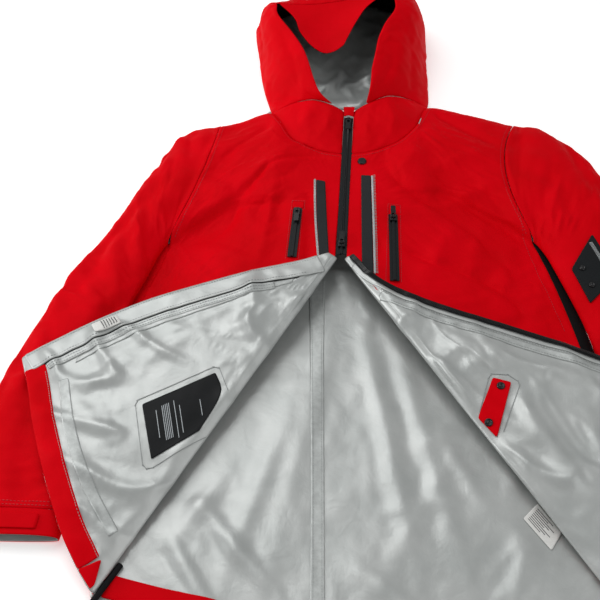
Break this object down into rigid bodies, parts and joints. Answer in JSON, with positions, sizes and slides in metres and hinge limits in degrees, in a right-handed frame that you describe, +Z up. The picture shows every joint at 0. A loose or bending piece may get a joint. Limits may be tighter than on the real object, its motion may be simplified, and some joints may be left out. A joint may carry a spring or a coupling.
{
  "type": "hardshell jacket",
  "caption": "Hooded waterproof shell jacket lying face up, zipped at the chest, its lower fronts folded back to show the lining.",
  "frame": {"origin": "on the table under the back panel, where the chest line crosses the centre front zip", "axes": "+X towards the wearer's left, +Y from hem to hood along the zip, +Z up out of the front"},
  "size_m": [0.9034, 1.1719, 0.1066],
  "materials": {
    "red_laminate": "smooth coated woven face",
    "silver_membrane": "satin printed membrane",
    "seam_tape": "satin tape",
    "zip_tape": "matt coated tape",
    "slider_metal": "black enamel",
    "pull_plastic": "moulded",
    "snap_plastic": "satin",
    "reflective_piping": "retroreflective",
    "black_trim": "woven",
    "white_label": "satin label",
    "black_label": "heat transfer",
    "elastic_cord": "braided"
  },
  "bodies": {
    "shell": {"right_sleeve": "red_laminate", "right_cuff": "red_laminate", "left_sleeve": "red_laminate", "left_cuff": "red_laminate", "back_panel": "silver_membrane", "right_front_panel": "red_laminate", "left_front_panel": "red_laminate", "main_zip_right_tape": "zip_tape", "main_zip_left_tape": "zip_tape", "right_chest_zip": "zip_tape", "left_chest_zip": "zip_tape", "right_welt_strip": "black_trim", "left_welt_strip": "black_trim", "right_reflective_piping": "reflective_piping", "left_reflective_piping": "reflective_piping", "right_chest_patch": "red_laminate", "collar_snap": "snap_plastic", "collar_right": "red_laminate", "collar_left": "red_laminate", "hood_right_panel": "red_laminate", "hood_left_panel": "red_laminate", "hood_crown": "red_laminate", "hood_back_panel": "silver_membrane", "back_hem_facing": "red_laminate", "back_seam_tape": "seam_tape", "care_label": "white_label", "hem_cord": "elastic_cord", "sleeve_badge": "black_trim", "badge_button_upper": "snap_plastic", "badge_button_lower": "snap_plastic"},
    "main_upper_slider": {"main_upper_slider": "slider_metal"},
    "main_upper_pull": {"main_upper_pull": "pull_plastic"},
    "main_lower_slider": {"main_lower_slider": "slider_metal"},
    "main_lower_pull": {"main_lower_pull": "pull_plastic"},
    "right_chest_slider": {"right_chest_slider": "slider_metal"},
    "right_chest_pull": {"right_chest_pull": "pull_plastic"},
    "left_chest_slider": {"left_chest_slider": "slider_metal"},
    "left_chest_pull": {"left_chest_pull": "pull_plastic"},
    "right_flap": {"right_lower_front": "silver_membrane", "storm_flap": "silver_membrane", "right_lower_zip_tape": "zip_tape", "storm_flap_label": "white_label", "inner_label_patch": "black_label", "right_hem_facing": "red_laminate"},
    "left_flap": {"left_lower_front": "silver_membrane", "left_lower_zip_tape": "seam_tape", "left_lower_zip_coil": "zip_tape", "left_hem_facing": "red_laminate", "inner_tab": "red_laminate", "inner_snap_upper": "snap_plastic", "inner_snap_lower": "snap_plastic"},
    "right_cuff_tab": {"right_cuff_tab": "red_laminate"},
    "left_cuff_tab": {"left_cuff_tab": "red_laminate"},
    "brim": {"hood_brim": "black_trim"}
  },
  "joints": [
    {"name": "main_upper_slide", "type": "slide", "parent": "shell", "child": "main_upper_slider", "axis": [0, -1, 0], "range_m": [0, 0.1]},
    {"name": "main_upper_pull_turn", "type": "hinge", "parent": "main_upper_slider", "child": "main_upper_pull", "pos_m": [0, 0.228, 0.0393], "axis": [-1, 0, 0], "range_deg": [0, 165]},
    {"name": "main_lower_slide", "type": "slide", "parent": "shell", "child": "main_lower_slider", "axis": [0, 1, 0], "range_m": [0, 0.1]},
    {"name": "main_lower_pull_turn", "type": "hinge", "parent": "main_lower_slider", "child": "main_lower_pull", "pos_m": [0, -0.032, 0.0393], "axis": [1, 0, 0], "range_deg": [0, 165]},
    {"name": "right_chest_slide", "type": "slide", "parent": "shell", "child": "right_chest_slider", "axis": [-0.02, -0.9996, -0.021], "range_m": [0, 0.076]},
    {"name": "right_chest_pull_turn", "type": "hinge", "parent": "right_chest_slider", "child": "right_chest_pull", "pos_m": [-0.06542, 0.02584, 0.04059], "axis": [-0.9995, 0.0205, -0.0242], "range_deg": [0, 165]},
    {"name": "left_chest_slide", "type": "slide", "parent": "shell", "child": "left_chest_slider", "axis": [0.03, -0.9992, -0.0248], "range_m": [0, 0.104]},
    {"name": "left_chest_pull_turn", "type": "hinge", "parent": "left_chest_slider", "child": "left_chest_pull", "pos_m": [0.07063, 0.02179, 0.04048], "axis": [0.9992, 0.0306, -0.0261], "range_deg": [0, 165]},
    {"name": "right_front_fold", "type": "hinge", "parent": "shell", "child": "right_flap", "pos_m": [-0.008, -0.06, 0.0375], "axis": [0.4488, 0.892, 0.0547], "range_deg": [0, 110]},
    {"name": "left_front_fold", "type": "hinge", "parent": "shell", "child": "left_flap", "pos_m": [0.008, -0.06, 0.0375], "axis": [0.5673, -0.8219, -0.0518], "range_deg": [0, 110]},
    {"name": "right_cuff_tab_turn", "type": "hinge", "parent": "shell", "child": "right_cuff_tab", "pos_m": [-0.38292, -0.46954, 0.0206], "axis": [0.1061, -0.9943, -0.0119], "range_deg": [0, 100]},
    {"name": "left_cuff_tab_turn", "type": "hinge", "parent": "shell", "child": "left_cuff_tab", "pos_m": [0.43914, -0.44611, 0.0206], "axis": [0.1334, 0.991, 0.0064], "range_deg": [0, 100]},
    {"name": "brim_turn", "type": "hinge", "parent": "shell", "child": "brim", "pos_m": [-0.124, 0.4466, 0.096], "axis": [-0.9817, -0.1831, -0.0529], "range_deg": [0, 60]}
  ]
}
